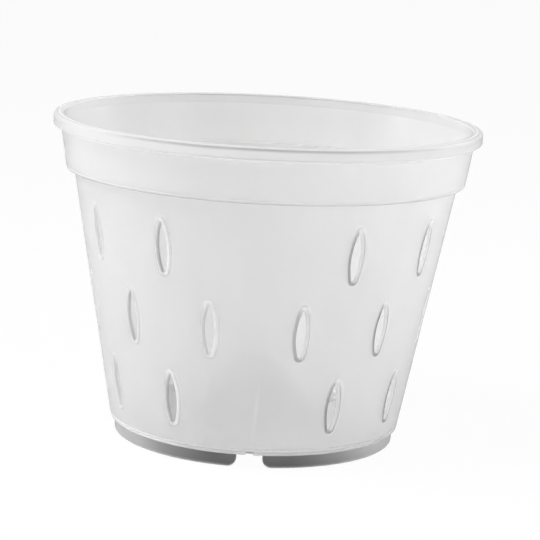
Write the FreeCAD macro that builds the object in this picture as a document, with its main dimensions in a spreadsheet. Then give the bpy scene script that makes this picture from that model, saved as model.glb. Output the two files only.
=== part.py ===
import FreeCAD, Part
import Sketcher
import math
import os

# A clear plastic orchid pot: one thin moulding, kept as its named regions
# The origin is the middle of the four feet, on the surface that they stand on
# The front foot gap faces -Y

# Driving sizes in millimetres: name, value, meaning
SIZES = (
    ("rim_radius", 75.0, "outside of the lip"),
    ("rim_height", 112.8, "top of the lip above the ground"),
    ("lip_depth", 4.2, "lip from its top to its underside"),
    ("lip_overhang", 2.6, "how far the lip stands out from the collar"),
    ("lip_thickness", 3.6, "lip across its top"),
    ("lip_seat", 0.8, "how far the collar rises into the lip"),
    ("lip_top_round", 1.1, "rounding of the outer top edge of the lip"),
    ("lip_inner_round", 0.6, "rounding of the inner top edge of the lip"),
    ("lip_bottom_round", 0.6, "rounding of the outer bottom edge of the lip"),
    ("wall_thickness", 1.2, "wall and collar, measured across"),
    ("wall_top_radius", 67.4, "outside of the wall under the step"),
    ("wall_foot_radius", 51.55, "outside of the wall on top of the heel"),
    ("collar_depth", 19.1, "from the top of the lip to the underside of the step"),
    ("step_thickness", 1.3, "shoulder between wall and collar"),
    ("step_overhang", 2.6, "how far the collar stands out from the wall"),
    ("step_round", 0.5, "rounding of the lower edge of the step"),
    ("heel_depth", 2.2, "heel from its underside to the foot of the wall"),
    ("heel_round", 1.45, "rounding of the lower outer edge"),
    ("heel_inner_round", 0.5, "rounding between the floor and the wall, inside"),
    ("foot_height", 4.6, "feet, from the ground to the underside of the floor"),
    ("foot_thickness", 1.6, "feet, measured across"),
    ("foot_gap", 9.0, "opening between two feet"),
    ("foot_end_round", 3.2, "rounding of the lower corners beside a gap"),
    ("foot_edge_round", 1.0, "rounding of the outer edge that touches the ground"),
    ("notch_width", 2.6, "notch over each foot gap"),
    ("notch_depth", 0.9, "notch over each foot gap"),
    ("slot_length", 19.5, "wall slots, from end to end"),
    ("slot_width", 5.6, "wall slots at their widest"),
    ("slot_top_width", 2.4, "wall slots at their narrow upper end"),
    ("slot_bottom_width", 3.4, "wall slots at their blunt lower end"),
    ("slot_rise", 9.2, "widest place of a slot above its lower end"),
    ("slot_margin_below", 5.75, "from the heel to the lowest row of slots"),
    ("slot_margin_above", 8.45, "from the highest row of slots to the step"),
    ("floor_thickness", 1.4, "floor of the pot"),
    ("drain_width", 4.0, "drain slots in the floor"),
    ("drain_start_radius", 30.0, "inner end of the drain slots"),
    ("drain_end_radius", 42.0, "outer end of the drain slots"),
    ("cone_base_radius", 24.0, "outside of the cone at the floor"),
    ("cone_top_radius", 6.0, "outside of the cone under its cap"),
    ("cone_rise", 19.2, "cone from the top of the floor to its cap"),
    ("cone_thickness", 1.5, "wall of the cone, measured across"),
    ("cap_thickness", 1.4, "closed top of the cone"),
    ("cap_round", 0.8, "rounding of the edge of the cap"),
    ("vent_width", 3.0, "vents in the cone"),
    ("vent_length", 9.0, "vents in the cone, measured upright"),
)

# Counts, which no change of size alters
QUARTER_COUNT = 4
MIDDLE_ROW_COUNT = 12
DRAIN_COUNT = 8
FULL_TURN = 360.0

# Where a circle or an edge is looked for, it may be this far off
NEAR = 1e-4

# Sizes worked out from the driving sizes, each in brackets so that it can stand in a longer one
HEEL_TOP = "(Sizes.foot_height + Sizes.heel_depth)"
STEP_BOTTOM = "(Sizes.rim_height - Sizes.collar_depth)"
WALL_SLOPE = f"((Sizes.wall_top_radius - Sizes.wall_foot_radius) / ({STEP_BOTTOM} - {HEEL_TOP}))"
HEEL_CORNER = f"(Sizes.wall_foot_radius - Sizes.heel_depth * {WALL_SLOPE})"
FLOOR_TOP = "(Sizes.foot_height + Sizes.floor_thickness)"
FOOT_RADIUS = f"({HEEL_CORNER} - Sizes.heel_round)"
FOOT_INSIDE = f"({FOOT_RADIUS} - Sizes.foot_thickness)"
STEP_TOP = f"({STEP_BOTTOM} + Sizes.step_thickness)"
STEP_CORNER = "(Sizes.wall_top_radius + Sizes.step_overhang)"
LIP_BOTTOM = "(Sizes.rim_height - Sizes.lip_depth)"
LIP_INSIDE = "(Sizes.rim_radius - Sizes.lip_thickness)"
COLLAR_RADIUS = "(Sizes.rim_radius - Sizes.lip_overhang)"
COLLAR_SLOPE = f"(({COLLAR_RADIUS} - {STEP_CORNER}) / ({LIP_BOTTOM} - {STEP_BOTTOM}))"
COLLAR_FOOT_RADIUS = f"({STEP_CORNER} + Sizes.step_thickness * {COLLAR_SLOPE})"
COLLAR_TOP = f"({LIP_BOTTOM} + Sizes.lip_seat)"
COLLAR_TOP_RADIUS = f"({COLLAR_RADIUS} + Sizes.lip_seat * {COLLAR_SLOPE})"
LOWEST_ROW = f"({HEEL_TOP} + Sizes.slot_margin_below + Sizes.slot_length / 2)"
HIGHEST_ROW = f"({STEP_BOTTOM} - Sizes.slot_margin_above - Sizes.slot_length / 2)"
MIDDLE_ROW = f"(({LOWEST_ROW} + {HIGHEST_ROW}) / 2)"
CONE_TOP = f"({FLOOR_TOP} + Sizes.cone_rise)"


def make_sheet(doc):
    """The sheet that holds the driving sizes."""
    sheet = doc.addObject("Spreadsheet::Sheet", "Sizes")
    for row, (name, value, meaning) in enumerate(SIZES, start=1):
        sheet.set(f"A{row}", name)
        sheet.set(f"B{row}", str(value))
        sheet.set(f"C{row}", meaning)
        sheet.setAlias(f"B{row}", name)
    doc.recompute()
    return sheet


def number(thing, expression):
    """The value of an expression in millimetres or degrees."""
    found = thing.evalExpression(expression)
    return float(getattr(found, "Value", found))


def new_body(doc, name):
    """An empty body whose label names its file."""
    body = doc.addObject("PartDesign::Body", name)
    body.Label = name
    return body


def origin_part(body, role):
    """The plane or axis of the body's own origin that has this role."""
    return next(item for item in body.Origin.OriginFeatures if item.Role == role)


def new_sketch(body, name, plane, turn=None):
    """A sketch on one of the body's origin planes, turned about the upright axis if asked."""
    sketch = body.newObject("Sketcher::SketchObject", name)
    sketch.AttachmentSupport = [(origin_part(body, plane), "")]
    sketch.MapMode = "FlatFace"
    if turn is not None:
        upright = FreeCAD.Vector(0, 1, 0)
        sketch.AttachmentOffset = FreeCAD.Placement(FreeCAD.Vector(), upright, 0)
        sketch.setExpression("AttachmentOffset.Rotation.Angle", turn)
    return sketch


def arc_between(start, end, centre_height):
    """The arc, drawn anticlockwise, from start to end about a centre at this height."""
    rise_start = start.y - centre_height
    rise_end = end.y - centre_height
    across = (start.x**2 - end.x**2 + rise_start**2 - rise_end**2) / (2 * (start.x - end.x))
    circle = Part.Circle()
    circle.Center = FreeCAD.Vector(across, centre_height, 0)
    circle.Radius = math.hypot(start.x - across, rise_start)
    start_angle = math.atan2(rise_start, start.x - across)
    end_angle = math.atan2(rise_end, end.x - across)
    return Part.ArcOfCircle(circle, start_angle, end_angle)


def draw_outline(sketch, corners, centre_heights=None):
    """A closed outline through corners given as pairs of expressions, anticlockwise.

    A side is straight, or an arc if centre_heights gives the height of its centre.
    """
    count = len(corners)
    centre_heights = centre_heights or [None] * count
    points = [
        FreeCAD.Vector(number(sketch, across), number(sketch, up), 0)
        for across, up in corners
    ]
    for side, height in enumerate(centre_heights):
        start, end = points[side], points[(side + 1) % count]
        if height is None:
            sketch.addGeometry(Part.LineSegment(start, end))
        else:
            sketch.addGeometry(arc_between(start, end, number(sketch, height)))
    for side in range(count):
        sketch.addConstraint(Sketcher.Constraint("Coincident", side, 2, (side + 1) % count, 1))
    for side, (across, up) in enumerate(corners):
        bind(sketch, "DistanceX", side, 1, across)
        bind(sketch, "DistanceY", side, 1, up)
    for side, height in enumerate(centre_heights):
        if height is not None:
            bind(sketch, "DistanceY", side, 3, height)


def bind(sketch, kind, side, point, expression):
    """Holds a point of one side at a place that follows the sheet."""
    constraint = Sketcher.Constraint(kind, side, point, number(sketch, expression))
    index = sketch.addConstraint(constraint)
    sketch.setExpression(f"Constraints[{index}]", expression)


def revolve(body, name, corners):
    """A full ring with this section, given as pairs of radius and height."""
    sketch = new_sketch(body, f"{name}_section", "XZ_Plane")
    draw_outline(sketch, corners)
    ring = body.newObject("PartDesign::Revolution", f"{name}_ring")
    ring.Profile = sketch
    ring.ReferenceAxis = (sketch, ["V_Axis"])
    ring.Angle = FULL_TURN
    body.Tip = ring
    body.Document.recompute()
    return ring


def circles(shape, radius, height):
    """The names of the shape's round edges with this radius at this height."""
    names = []
    for index, edge in enumerate(shape.Edges, start=1):
        if edge.Curve.TypeId != "Part::GeomCircle":
            continue
        centre = edge.Curve.Center
        if abs(edge.Curve.Radius - radius) < NEAR and abs(centre.z - height) < NEAR:
            names.append(f"Edge{index}")
    return names


def round_edges(body, name, edges, radius):
    """Rounds the named edges of the body's last feature."""
    last = body.Tip
    fillet = body.newObject("PartDesign::Fillet", name)
    fillet.Base = (last, edges)
    fillet.setExpression("Radius", radius)
    body.Tip = fillet
    body.Document.recompute()
    return fillet


def round_circle(body, name, radius, height, rounding):
    """Rounds the circular edge of the body's last feature that has this radius and height."""
    last = body.Tip
    edges = circles(last.Shape, number(last, radius), number(last, height))
    return round_edges(body, name, edges, rounding)


def cut_outwards(body, name, corners, first_turn, copies, centre_heights=None):
    """Cuts an outline from the axis outwards, and repeats the cut around the axis."""
    sketch = new_sketch(body, f"{name}_outline", "XZ_Plane", first_turn)
    draw_outline(sketch, corners, centre_heights)
    pocket = body.newObject("PartDesign::Pocket", f"{name}_cut")
    pocket.Profile = sketch
    pocket.Reversed = True
    pocket.setExpression("Length", "Sizes.wall_top_radius")
    body.Document.recompute()
    repeat_around(body, name, pocket, copies)


def repeat_around(body, name, feature, copies):
    """Repeats a feature evenly around the upright axis."""
    pattern = body.newObject("PartDesign::PolarPattern", f"{name}_pattern")
    pattern.Originals = [feature]
    pattern.Axis = (origin_part(body, "Z_Axis"), [""])
    pattern.Angle = FULL_TURN
    pattern.Occurrences = copies
    body.Tip = pattern
    body.Document.recompute()


def make_rim_lip(doc):
    """The rounded bead round the mouth."""
    body = new_body(doc, "rim_lip")
    revolve(body, "lip", [
        (COLLAR_RADIUS, LIP_BOTTOM),
        ("Sizes.rim_radius", LIP_BOTTOM),
        ("Sizes.rim_radius", "Sizes.rim_height"),
        (LIP_INSIDE, "Sizes.rim_height"),
        (f"{COLLAR_TOP_RADIUS} - Sizes.wall_thickness", COLLAR_TOP),
        (COLLAR_TOP_RADIUS, COLLAR_TOP),
    ])
    round_circle(body, "lip_top", "Sizes.rim_radius", "Sizes.rim_height", "Sizes.lip_top_round")
    round_circle(body, "lip_inner", LIP_INSIDE, "Sizes.rim_height", "Sizes.lip_inner_round")
    round_circle(body, "lip_bottom", "Sizes.rim_radius", LIP_BOTTOM, "Sizes.lip_bottom_round")
    return body


def make_collar_band(doc):
    """The plain band between the step and the lip."""
    body = new_body(doc, "collar_band")
    revolve(body, "collar", [
        (f"{COLLAR_FOOT_RADIUS} - Sizes.wall_thickness", STEP_TOP),
        (COLLAR_FOOT_RADIUS, STEP_TOP),
        (COLLAR_TOP_RADIUS, COLLAR_TOP),
        (f"{COLLAR_TOP_RADIUS} - Sizes.wall_thickness", COLLAR_TOP),
    ])
    return body


def make_stacking_step(doc):
    """The shoulder that carries the collar and stops a nested pot."""
    body = new_body(doc, "stacking_step")
    wall_inside = "Sizes.wall_top_radius - Sizes.wall_thickness"
    revolve(body, "step", [
        (wall_inside, STEP_BOTTOM),
        (STEP_CORNER, STEP_BOTTOM),
        (COLLAR_FOOT_RADIUS, STEP_TOP),
        (f"{wall_inside} + Sizes.step_thickness * {WALL_SLOPE}", STEP_TOP),
    ])
    round_circle(body, "step_edge", STEP_CORNER, STEP_BOTTOM, "Sizes.step_round")
    return body


def slot_corners(middle):
    """The corners of a leaf shaped slot about this height, and the centres of its arcs."""
    bottom = f"{middle} - Sizes.slot_length / 2"
    top = f"{middle} + Sizes.slot_length / 2"
    upper_end = f"{top} - Sizes.slot_top_width / 2"
    lower_end = f"{bottom} + Sizes.slot_bottom_width / 2"
    widest = f"{bottom} + Sizes.slot_rise"
    corners = [
        ("Sizes.slot_top_width / 2", upper_end),
        ("-Sizes.slot_top_width / 2", upper_end),
        ("-Sizes.slot_width / 2", widest),
        ("-Sizes.slot_bottom_width / 2", lower_end),
        ("Sizes.slot_bottom_width / 2", lower_end),
        ("Sizes.slot_width / 2", widest),
    ]
    return corners, [upper_end, widest, widest, lower_end, widest, widest]


def make_slotted_wall(doc):
    """The tapering wall with its three rows of slots, which leave the quarter lines free."""
    body = new_body(doc, "slotted_wall")
    revolve(body, "wall", [
        ("Sizes.wall_foot_radius - Sizes.wall_thickness", HEEL_TOP),
        ("Sizes.wall_foot_radius", HEEL_TOP),
        ("Sizes.wall_top_radius", STEP_BOTTOM),
        ("Sizes.wall_top_radius - Sizes.wall_thickness", STEP_BOTTOM),
    ])
    pitch = FULL_TURN / MIDDLE_ROW_COUNT
    for name, height in (("lowest_row", LOWEST_ROW), ("highest_row", HIGHEST_ROW)):
        corners, centres = slot_corners(height)
        for step in range(1, MIDDLE_ROW_COUNT // QUARTER_COUNT):
            cut_outwards(body, f"{name}_{step}", corners, str(step * pitch), QUARTER_COUNT, centres)
    corners, centres = slot_corners(MIDDLE_ROW)
    cut_outwards(body, "middle_row", corners, str(pitch / 2), MIDDLE_ROW_COUNT, centres)
    return body


def make_heel_ring(doc):
    """The bottom corner between the wall, the floor and the feet."""
    body = new_body(doc, "heel_ring")
    wall_inside = "Sizes.wall_foot_radius - Sizes.wall_thickness"
    inner_corner = f"{wall_inside} - (Sizes.heel_depth - Sizes.floor_thickness) * {WALL_SLOPE}"
    revolve(body, "heel", [
        (FOOT_INSIDE, "Sizes.foot_height"),
        (HEEL_CORNER, "Sizes.foot_height"),
        ("Sizes.wall_foot_radius", HEEL_TOP),
        (wall_inside, HEEL_TOP),
        (inner_corner, FLOOR_TOP),
        (FOOT_INSIDE, FLOOR_TOP),
    ])
    round_circle(body, "heel_edge", HEEL_CORNER, "Sizes.foot_height", "Sizes.heel_round")
    round_circle(body, "heel_inner", inner_corner, FLOOR_TOP, "Sizes.heel_inner_round")
    notch_top = "Sizes.foot_height + Sizes.notch_depth"
    cut_outwards(body, "notch", [
        ("-Sizes.notch_width / 2", "Sizes.foot_height"),
        ("Sizes.notch_width / 2", "Sizes.foot_height"),
        ("Sizes.notch_width / 2", notch_top),
        ("-Sizes.notch_width / 2", notch_top),
    ], "0", QUARTER_COUNT)
    return body


def make_drain_floor(doc):
    """The floor, raised by the feet, with drain slots that point outwards."""
    body = new_body(doc, "drain_floor")
    revolve(body, "floor", [
        ("Sizes.cone_base_radius", "Sizes.foot_height"),
        (FOOT_INSIDE, "Sizes.foot_height"),
        (FOOT_INSIDE, FLOOR_TOP),
        ("Sizes.cone_base_radius", FLOOR_TOP),
    ])
    sketch = new_sketch(body, "drain_outline", "XY_Plane")
    near = "-Sizes.drain_start_radius - Sizes.drain_width / 2"
    far = "-Sizes.drain_end_radius + Sizes.drain_width / 2"
    corners = [
        ("-Sizes.drain_width / 2", far),
        ("Sizes.drain_width / 2", far),
        ("Sizes.drain_width / 2", near),
        ("-Sizes.drain_width / 2", near),
    ]
    draw_outline(sketch, corners, [far, None, near, None])
    pocket = body.newObject("PartDesign::Pocket", "drain_cut")
    pocket.Profile = sketch
    pocket.Reversed = True
    pocket.setExpression("Length", "Sizes.rim_height")
    body.Document.recompute()
    repeat_around(body, "drain", pocket, DRAIN_COUNT)
    return body


def make_air_cone(doc):
    """The hollow cone that lets air into the middle of the roots."""
    body = new_body(doc, "air_cone")
    base_inside = "Sizes.cone_base_radius - Sizes.cone_thickness"
    revolve(body, "cone", [
        (base_inside, "Sizes.foot_height"),
        ("Sizes.cone_base_radius", "Sizes.foot_height"),
        ("Sizes.cone_base_radius", FLOOR_TOP),
        ("Sizes.cone_top_radius", CONE_TOP),
        ("Sizes.cone_top_radius - Sizes.cone_thickness", CONE_TOP),
        (base_inside, FLOOR_TOP),
    ])
    vent_middle = f"{FLOOR_TOP} + Sizes.cone_rise / 2"
    vent_bottom = f"{vent_middle} - Sizes.vent_length / 2"
    vent_top = f"{vent_middle} + Sizes.vent_length / 2"
    cut_outwards(body, "vent", [
        ("-Sizes.vent_width / 2", vent_bottom),
        ("Sizes.vent_width / 2", vent_bottom),
        ("Sizes.vent_width / 2", vent_top),
        ("-Sizes.vent_width / 2", vent_top),
    ], "0", QUARTER_COUNT)
    return body


def make_cone_cap(doc):
    """The closed top of the cone."""
    body = new_body(doc, "cone_cap")
    cap_top = f"{CONE_TOP} + Sizes.cap_thickness"
    revolve(body, "cap", [
        ("0", CONE_TOP),
        ("Sizes.cone_top_radius", CONE_TOP),
        ("Sizes.cone_top_radius", cap_top),
        ("0", cap_top),
    ])
    round_circle(body, "cap_edge", "Sizes.cone_top_radius", cap_top, "Sizes.cap_round")
    return body


def make_foot(doc, name, turn):
    """One curved foot, between two gaps, turned to its quarter."""
    body = new_body(doc, name)
    sketch = new_sketch(body, f"{name}_section", "XZ_Plane")
    draw_outline(sketch, [
        (FOOT_INSIDE, "0"),
        (FOOT_RADIUS, "0"),
        (FOOT_RADIUS, "Sizes.foot_height"),
        (FOOT_INSIDE, "Sizes.foot_height"),
    ])
    arc = body.newObject("PartDesign::Revolution", f"{name}_arc")
    arc.Profile = sketch
    arc.ReferenceAxis = (sketch, ["V_Axis"])
    arc.Midplane = True
    quarter = FULL_TURN / QUARTER_COUNT
    arc.setExpression("Angle", f"{quarter} deg - 2 * asin(Sizes.foot_gap / 2 / {FOOT_RADIUS})")
    body.Tip = arc
    doc.recompute()
    round_edges(body, f"{name}_ends", ground_ends(arc.Shape), "Sizes.foot_end_round")
    round_circle(body, f"{name}_edge", FOOT_RADIUS, "0", "Sizes.foot_edge_round")
    body.Placement = FreeCAD.Placement(FreeCAD.Vector(), FreeCAD.Vector(0, 0, 1), turn)
    doc.recompute()
    return body


def ground_ends(shape):
    """The names of the straight edges that touch the ground."""
    names = []
    for index, edge in enumerate(shape.Edges, start=1):
        straight = edge.Curve.TypeId == "Part::GeomLine"
        if straight and edge.BoundBox.ZMax < NEAR:
            names.append(f"Edge{index}")
    return names


def check_document(doc, bodies):
    """Stops if anything failed to build."""
    for item in doc.Objects:
        if {"Invalid", "Error"} & set(item.State):
            raise RuntimeError(f"{item.Label} did not build: {item.State}")
    for body in bodies:
        shape = body.Shape
        if shape.isNull() or not shape.isValid() or len(shape.Solids) != 1:
            raise RuntimeError(f"{body.Label} has no valid single solid")


def write_parts(bodies):
    """Writes each body to a file named after its label."""
    os.makedirs("parts", exist_ok=True)
    for body in bodies:
        body.Shape.exportStep(f"parts/{body.Label}.step")
        print(f"{body.Label}: {body.Shape.Volume:.1f} cubic millimetres")


def main():
    doc = FreeCAD.newDocument("orchid_pot")
    make_sheet(doc)
    bodies = [
        make_rim_lip(doc),
        make_collar_band(doc),
        make_stacking_step(doc),
        make_slotted_wall(doc),
        make_heel_ring(doc),
        make_drain_floor(doc),
        make_air_cone(doc),
        make_cone_cap(doc),
    ]
    quarter = FULL_TURN / QUARTER_COUNT
    places = ("back_right", "back_left", "front_left", "front_right")
    for index, place in enumerate(places):
        bodies.append(make_foot(doc, f"foot_{place}", quarter * (index + 0.5)))
    doc.recompute()
    check_document(doc, bodies)
    write_parts(bodies)


main()
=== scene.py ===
"""A milky clear plastic orchid pot with air slots, and the studio that it stands in.

The frame gives the pot's main sizes. Every region of the moulding is worked out as a surface
and stands for the solid of the same region. Lengths are metres and the pot stands on z = 0.
"""

import functools
import math
from typing import Callable, NamedTuple

import bmesh
import bpy
import numpy as np
from bpy.props import FloatProperty, FloatVectorProperty, IntProperty, PointerProperty
from mathutils import Matrix, Vector


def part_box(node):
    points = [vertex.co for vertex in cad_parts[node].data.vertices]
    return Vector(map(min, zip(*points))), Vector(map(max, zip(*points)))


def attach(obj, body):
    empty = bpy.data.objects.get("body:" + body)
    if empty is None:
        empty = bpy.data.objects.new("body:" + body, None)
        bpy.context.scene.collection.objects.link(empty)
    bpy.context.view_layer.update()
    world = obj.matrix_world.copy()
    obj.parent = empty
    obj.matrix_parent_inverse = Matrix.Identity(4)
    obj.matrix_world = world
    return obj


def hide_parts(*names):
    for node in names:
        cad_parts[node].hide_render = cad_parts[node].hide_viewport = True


bl_info = {
    "name": "Slotted Orchid Pot",
    "version": (1, 0, 0),
    "blender": (4, 5, 0),
    "location": "View3D > Sidebar > Orchid Pot",
    "description": "Makes a milky clear orchid pot, its plastic and the studio around it",
    "category": "Add Mesh",
}

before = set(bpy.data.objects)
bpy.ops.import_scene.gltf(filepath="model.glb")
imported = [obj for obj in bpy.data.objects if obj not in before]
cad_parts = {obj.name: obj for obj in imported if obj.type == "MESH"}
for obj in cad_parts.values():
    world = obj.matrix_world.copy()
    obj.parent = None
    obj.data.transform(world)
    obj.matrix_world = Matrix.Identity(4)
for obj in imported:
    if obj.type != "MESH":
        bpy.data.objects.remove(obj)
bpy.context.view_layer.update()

MM = 0.001
DEGREE = math.radians(1)
TURN = 2 * math.pi
QUARTER = TURN / 4
SAME_POINT = 0.001 * MM
SHARP_EDGE = 40 * DEGREE
CELL_CORNER = 0.3 * math.pi
RING_SEGMENTS, HEEL_SEGMENTS, CAP_SEGMENTS = 240, 960, 128
FLANK_STEPS, BEND_STEPS, FOOT_STEPS = 7, 12, 59
SENSOR_WIDTH = 36
BODY = "root"

# A point beside a rounding is a third of it away, but within nine tenths of its room.
SUPPORT, SUPPORT_ROOM = 1 / 3, 0.9

# The feet anticlockwise, starting between +X and +Y.
FEET = ("foot_back_right", "foot_back_left", "foot_front_left", "foot_front_right")

# The width and height of each lamp, its azimuth from the front to the right, and its elevation.
LAMPS = {
    "key": (0.5, 0.5, -60, 60),
    "left": (0.25, 0.6, -90, 25),
    "right": (0.25, 0.6, 60, 25),
    "rim": (0.25, 0.6, 120, 25),
}


@functools.cache
def box(node):
    """The low and high corners of a solid's box."""
    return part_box(node)


def low(node):
    """Height of the underside of a solid."""
    return box(node)[0].z


def high(node):
    """Height of the top of a solid."""
    return box(node)[1].z


def reach(node):
    """Outside radius of a round solid."""
    return box(node)[1].x


def setting(kind, **limits):
    """Gives a function that makes a setting from its default, name and description."""

    def made(default, name, description):
        return kind(name=name, description=description, default=default, **limits)

    return made


length = setting(FloatProperty, min=0, unit="LENGTH", precision=5)
share = setting(FloatProperty, min=0, max=1, subtype="FACTOR")
amount = setting(FloatProperty, min=0, subtype="UNSIGNED")
power = setting(FloatProperty, min=0, unit="POWER")
focus = setting(FloatProperty, min=1, unit="CAMERA")
angle = setting(FloatProperty, subtype="ANGLE")
faces = setting(IntProperty, min=4)
colour = setting(FloatVectorProperty, min=0, max=1, size=3, subtype="COLOR")


class PotShape(bpy.types.PropertyGroup):
    """Sizes of the moulding that the solids don't name, and how finely it is drawn."""

    wall: length(1.2 * MM, "Wall", "Thickness of wall and collar, measured level")
    wall_foot_radius: length(51.55 * MM, "Wall foot", "Outside of the wall on the heel")
    lip_overhang: length(2.6 * MM, "Lip overhang", "Lip outwards from the collar")
    lip_width: length(3.6 * MM, "Lip width", "Lip across its top")
    lip_top_round: length(1.1 * MM, "Lip top edge", "Rounding of the outer top edge")
    lip_small_round: length(0.6 * MM, "Lip other edges", "Rounding of the other edges")
    step_overhang: length(2.6 * MM, "Step", "Collar outwards from the wall")
    step_round: length(0.5 * MM, "Step edge", "Rounding of the lower edge of the step")
    heel_round: length(1.45 * MM, "Heel edge", "Rounding of the lower outer edge")
    inner_round: length(0.5 * MM, "Inner corner", "Rounding between floor and wall")
    notch_width: length(2.6 * MM, "Notch width", "Notch over each foot gap")
    notch_depth: length(0.9 * MM, "Notch depth", "Notch over each foot gap")
    notch_slope: length(0.4 * MM, "Notch slope", "Width of each sloped side of a notch")
    slot_length: length(19.5 * MM, "Slot length", "Wall slots from end to end")
    slot_width: length(5.6 * MM, "Slot width", "Wall slots at their widest")
    slot_top_width: length(2.4 * MM, "Slot upper end", "Narrow upper end of a slot")
    slot_bottom_width: length(3.4 * MM, "Slot lower end", "Blunt lower end of a slot")
    slot_rise: length(9.2 * MM, "Slot rise", "Widest place above the lower end")
    slot_margin_below: length(5.75 * MM, "Margin below", "From the heel to the lowest row")
    slot_margin_above: length(8.45 * MM, "Margin above", "From the highest row to the step")
    slot_seat: length(0.05 * MM, "Bead start", "Top of the bead from the edge of a slot")
    slot_roll: length(1.2 * MM, "Slot roll", "Rolled edge of a slot towards its opening")
    bead_width: length(0.45 * MM, "Bead width", "Outer flank of the bead round a slot")
    bead_height: length(0.3 * MM, "Bead height", "Raised bead round a slot")
    plain_round: length(0.3 * MM, "Plain edges", "Rounding of the drain slots and vents")
    foot_width: length(1.6 * MM, "Foot", "Thickness of a foot")
    foot_gap: length(9.0 * MM, "Foot gap", "Opening between two feet")
    foot_end_round: length(3.2 * MM, "Foot corners", "Rounding of the corners at a gap")
    foot_edge_round: length(1.0 * MM, "Foot edge", "Rounding of the outer ground edge")
    foot_inner_round: length(0.25 * MM, "Foot inner edge", "Rounding of the inner ground edge")
    foot_end: length(0.35 * MM, "Foot end", "How far from its end a foot grows narrow")
    foot_slim: share(0.25, "Foot narrowing", "How much narrower a foot is at its end")
    drain_width: length(4.0 * MM, "Drain slot", "Width of the drain slots")
    drain_start: length(30.0 * MM, "Drain start", "Inner end of the drain slots")
    drain_end: length(42.0 * MM, "Drain end", "Outer end of the drain slots")
    cone_wall: length(1.5 * MM, "Cone wall", "Thickness of the cone, measured level")
    cap_round: length(0.8 * MM, "Cap edge", "Rounding of the edge of the cap")
    vent_width: length(3.0 * MM, "Vent width", "Vents in the cone")
    vent_length: length(9.0 * MM, "Vent length", "Vents in the cone")
    # Painted shade and painted highlights: the tones below paint the moulding darker or brighter
    # at edges, lines, floor, cone, heel and feet, as if in shade or in light.
    edge_shade: share(0.8, "Slot edge shade", "How dark the rolled edge of a slot is")
    lip_shade: share(0.85, "Lip shade", "How dark the rounded edges of the lip are")
    step_shade: share(0.6, "Step shade", "How dark the lower edge of the step is")
    line_shine: share(0.8, "Line shine", "How bright the lines beside lip and step are")
    line_width: length(0.5 * MM, "Line width", "Half the width of those lines")
    # The floor's and the cone's darkness is painted shade.
    floor_painted_shade: share(0.06, "Floor shade", "How dark the thick floor is")
    cone_shade: share(0.5, "Cone shade", "How dark the thick cone is")
    heel_shade: share(0.15, "Heel shade", "How dark the rounded edge of the heel is")
    notch_shade: share(0.9, "Notch shade", "How dark the notch over a foot gap is")
    foot_shade: share(0.95, "Foot shade", "How dark the top of a foot is")
    columns: faces(20, "Columns", "Columns of faces across a cell")
    rows: faces(24, "Rows", "Rows of faces up a cell")


class PlasticLook(bpy.types.PropertyGroup):
    """Colours and shares of the milky plastic."""

    body: colour((0.9, 0.9, 0.9), "Plastic", "Colour of the plastic in white light")
    through: colour((0.97, 0.97, 0.97), "Light through", "Colour of light that comes through")
    # Shade is the colour of all painted shade; light through a face also darkens towards it where
    # the face is seen edge on.
    dark: colour((0.26, 0.26, 0.26), "Shade", "Colour where the plastic is thickest")
    # Shine is the colour of the painted highlights and of the flow line.
    bright: colour((1.0, 1.0, 1.0), "Shine", "Colour of the edges that gather light")
    clear: share(0.1, "Clear", "Share of light that passes a face straight")
    blurred: share(0.4, "Blurred", "Share of the rest that passes a face and is blurred")
    glow: share(0.4, "Glow", "Share of the rest that comes out as an even glow")
    # The sheen lightens the painted shade of the feet and of the lip's lines where a face turns
    # from the camera.
    sheen: amount(2.6, "Sheen", "How soon the dark feet lighten towards their edges")
    sheen_start: amount(1.2, "Sheen start", "Where that begins: 1 starts it face on")
    density: share(0.9, "Density", "How much darker the light through a face is at its edge")
    density_fall: amount(5.0, "Density fall", "How soon that dark falls off from the edge")
    refraction: amount(1.3, "Refraction", "Index of refraction for the blurred light")
    roughness: share(0.27, "Roughness", "Roughness of the surface")
    flow: share(0.12, "Flow line", "How bright the faint upright line at the front is")
    flow_slant: share(0.07, "Flow line slant", "How much the line leans to the right")
    flow_middle: length(21 * MM, "Flow line middle", "Height of the middle of the line")
    flow_reach: length(13 * MM, "Flow line reach", "Half the height of the line")
    flow_width: length(1.0 * MM, "Flow line width", "Half the width of the line")
    cloud: share(0.08, "Cloudiness", "How much the plastic varies from place to place")
    streak: share(0.08, "Streaks", "How much the plastic varies in upright streaks")
    streak_scale: amount(90, "Streak scale", "Size of the streaks: a larger number is finer")
    streak_rise: share(0.08, "Streak rise", "Upright scale of the streaks against the level one")
    wave: length(0.2 * MM, "Waviness", "Height of the slight waves of the moulded surface")
    wave_strength: share(0.6, "Wave strength", "How much the waves turn the light")
    cloud_scale: amount(55, "Cloud scale", "Size of the clouds: a larger number is finer")


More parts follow.
